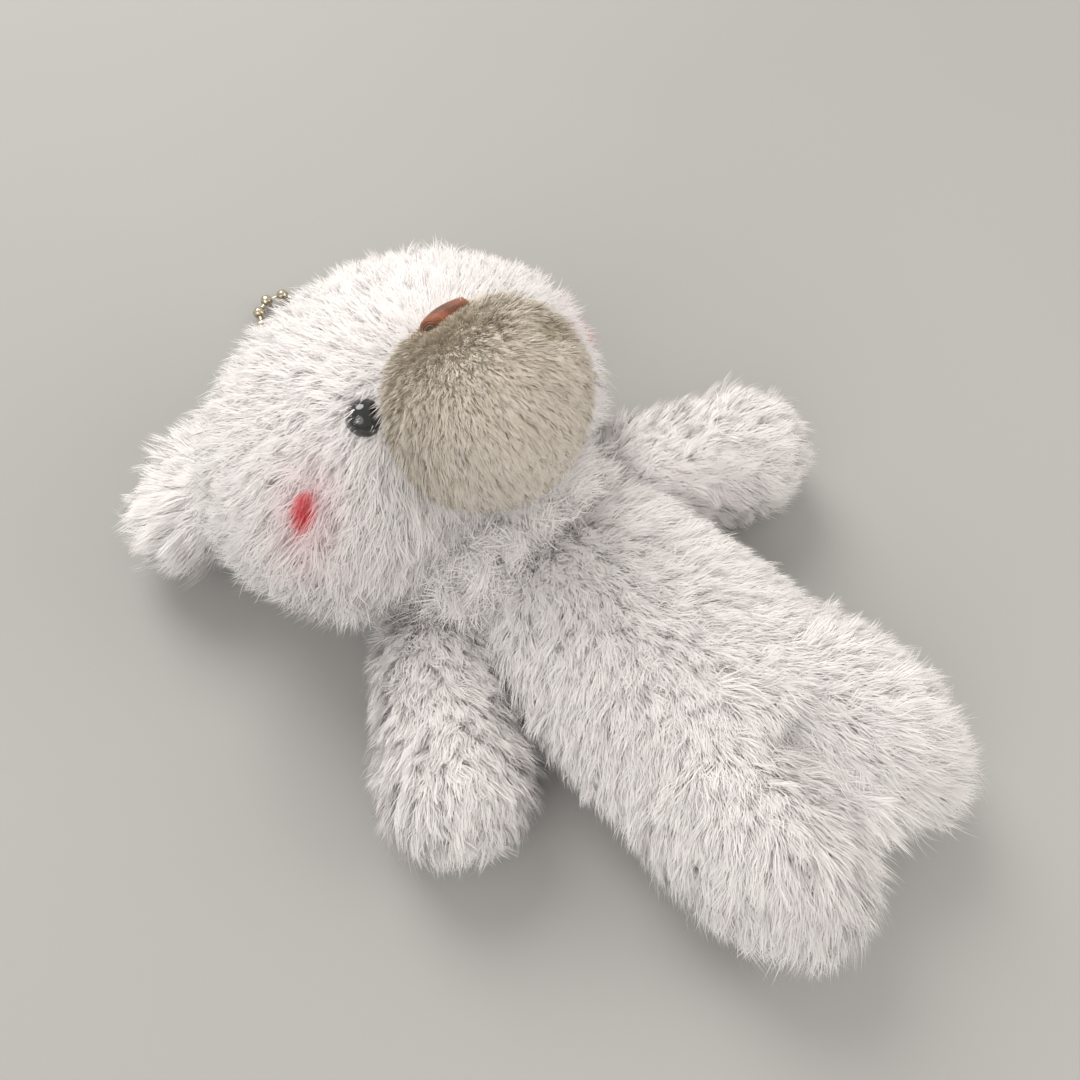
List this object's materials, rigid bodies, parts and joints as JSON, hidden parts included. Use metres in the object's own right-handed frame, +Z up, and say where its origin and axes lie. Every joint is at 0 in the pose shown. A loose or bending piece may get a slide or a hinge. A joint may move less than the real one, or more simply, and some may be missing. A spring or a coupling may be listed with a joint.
{
  "type": "plush keychain",
  "caption": "Small plush bear lying on its back, with a round muzzle, stitched nose, domed eyes, soft jointed limbs and a loop of ball chain at the crown.",
  "frame": {"origin": "on the table, under the middle of the toy's bounding box", "axes": "+X to the bear's left, +Y from the feet to the crown, +Z up out of the belly and the face"},
  "size_m": [0.096, 0.1566, 0.0581],
  "materials": {
    "white_plush": "long-pile knitted plush",
    "cream_plush": "short-pile plush",
    "filling": "loose polyester fibre",
    "white_thread": "matt sewing thread",
    "cream_thread": "matt sewing thread",
    "nose_floss": "satin stitch in embroidery thread",
    "eye_plastic": "polished",
    "washer_plastic": "moulded",
    "loop_cord": "braided cord",
    "chain_metal": "nickel plated, satin"
  },
  "bodies": {
    "torso": {"body_front_panel": "white_plush", "body_back_panel": "white_plush", "body_stuffing": "filling", "body_left_seam_thread": "white_thread", "body_right_seam_thread": "white_thread"},
    "neck": {"neck_stuffing": "filling", "neck_seam_thread": "white_thread"},
    "head": {"eye_left": "eye_plastic", "eye_left_washer": "washer_plastic", "eye_right": "eye_plastic", "eye_right_washer": "washer_plastic", "head_front_panel": "white_plush", "head_back_panel": "white_plush", "head_stuffing": "filling", "head_seam_thread": "white_thread", "muzzle_cover": "cream_plush", "muzzle_stuffing": "filling", "nose_embroidery": "nose_floss", "muzzle_dart_stitch": "cream_thread", "hanging_loop": "loop_cord"},
    "ear_left": {"ear_left_front_panel": "white_plush", "ear_left_back_panel": "white_plush"},
    "ear_right": {"ear_right_front_panel": "white_plush", "ear_right_back_panel": "white_plush"},
    "arm_left": {"arm_left_front_panel": "white_plush", "arm_left_back_panel": "white_plush", "arm_left_stuffing": "filling"},
    "arm_right": {"arm_right_front_panel": "white_plush", "arm_right_back_panel": "white_plush", "arm_right_stuffing": "filling"},
    "leg_left": {"leg_left_front_panel": "white_plush", "leg_left_back_panel": "white_plush", "leg_left_stuffing": "filling"},
    "leg_right": {"leg_right_front_panel": "white_plush", "leg_right_back_panel": "white_plush", "leg_right_stuffing": "filling"},
    "chain_upper": {"chain_upper_balls": "chain_metal", "chain_upper_links": "chain_metal"},
    "chain_lower": {"chain_lower_links": "chain_metal", "chain_lower_balls": "chain_metal", "chain_coupling": "chain_metal"},
    "chain_free": {"chain_free_balls": "chain_metal", "chain_free_links": "chain_metal"}
  },
  "joints": [
    {"name": "neck_nod", "type": "hinge", "parent": "torso", "child": "neck", "pos_m": [-0.00409, -0.00284, 0.0126], "axis": [1, 0, 0], "range_deg": [-15, 8], "stiffness_Nm_per_rad": 0.02},
    {"name": "head_turn", "type": "hinge", "parent": "neck", "child": "head", "pos_m": [-0.00409, -0.00284, 0.0126], "axis": [0, 1, 0], "range_deg": [-25, 25], "stiffness_Nm_per_rad": 0.02},
    {"name": "arm_left_swing", "type": "hinge", "parent": "torso", "child": "arm_left", "pos_m": [0.02151, -0.00834, 0.0101], "axis": [0, 0, 1], "range_deg": [-23, 40], "stiffness_Nm_per_rad": 0.005},
    {"name": "arm_right_swing", "type": "hinge", "parent": "torso", "child": "arm_right", "pos_m": [-0.02649, -0.00834, 0.0101], "axis": [0, 0, -1], "range_deg": [0, 60], "stiffness_Nm_per_rad": 0.005},
    {"name": "leg_left_bend", "type": "hinge", "parent": "torso", "child": "leg_left", "pos_m": [0.00961, -0.05284, 0.0255], "axis": [-1, 0, 0], "range_deg": [0, 45], "stiffness_Nm_per_rad": 0.01},
    {"name": "leg_right_bend", "type": "hinge", "parent": "torso", "child": "leg_right", "pos_m": [-0.01459, -0.05284, 0.0255], "axis": [-1, 0, 0], "range_deg": [0, 45], "stiffness_Nm_per_rad": 0.01},
    {"name": "ear_left_flop", "type": "hinge", "parent": "head", "child": "ear_left", "pos_m": [0.01721, 0.03804, 0.01001], "axis": [0.7951, -0.6014, -0.078], "range_deg": [-35, 35], "stiffness_Nm_per_rad": 0.001},
    {"name": "ear_right_flop", "type": "hinge", "parent": "head", "child": "ear_right", "pos_m": [-0.03016, 0.03804, 0.01465], "axis": [0.7951, 0.6014, -0.078], "range_deg": [-35, 35], "stiffness_Nm_per_rad": 0.001},
    {"name": "chain_swing", "type": "hinge", "parent": "head", "child": "chain_upper", "pos_m": [-0.00549, 0.04894, 0.02241], "axis": [0.766, -0.6428, 0], "range_deg": [0, 95]},
    {"name": "chain_fold", "type": "hinge", "parent": "chain_upper", "child": "chain_lower", "pos_m": [-0.00297, 0.05194, 0.00456], "axis": [0.7659, -0.643, 0.0006], "range_deg": [-85, 15]},
    {"name": "chain_open", "type": "hinge", "parent": "chain_lower", "child": "chain_free", "pos_m": [0.00905, 0.07599, 0.00165], "axis": [0, 0, 1], "range_deg": [0, 45]}
  ]
}
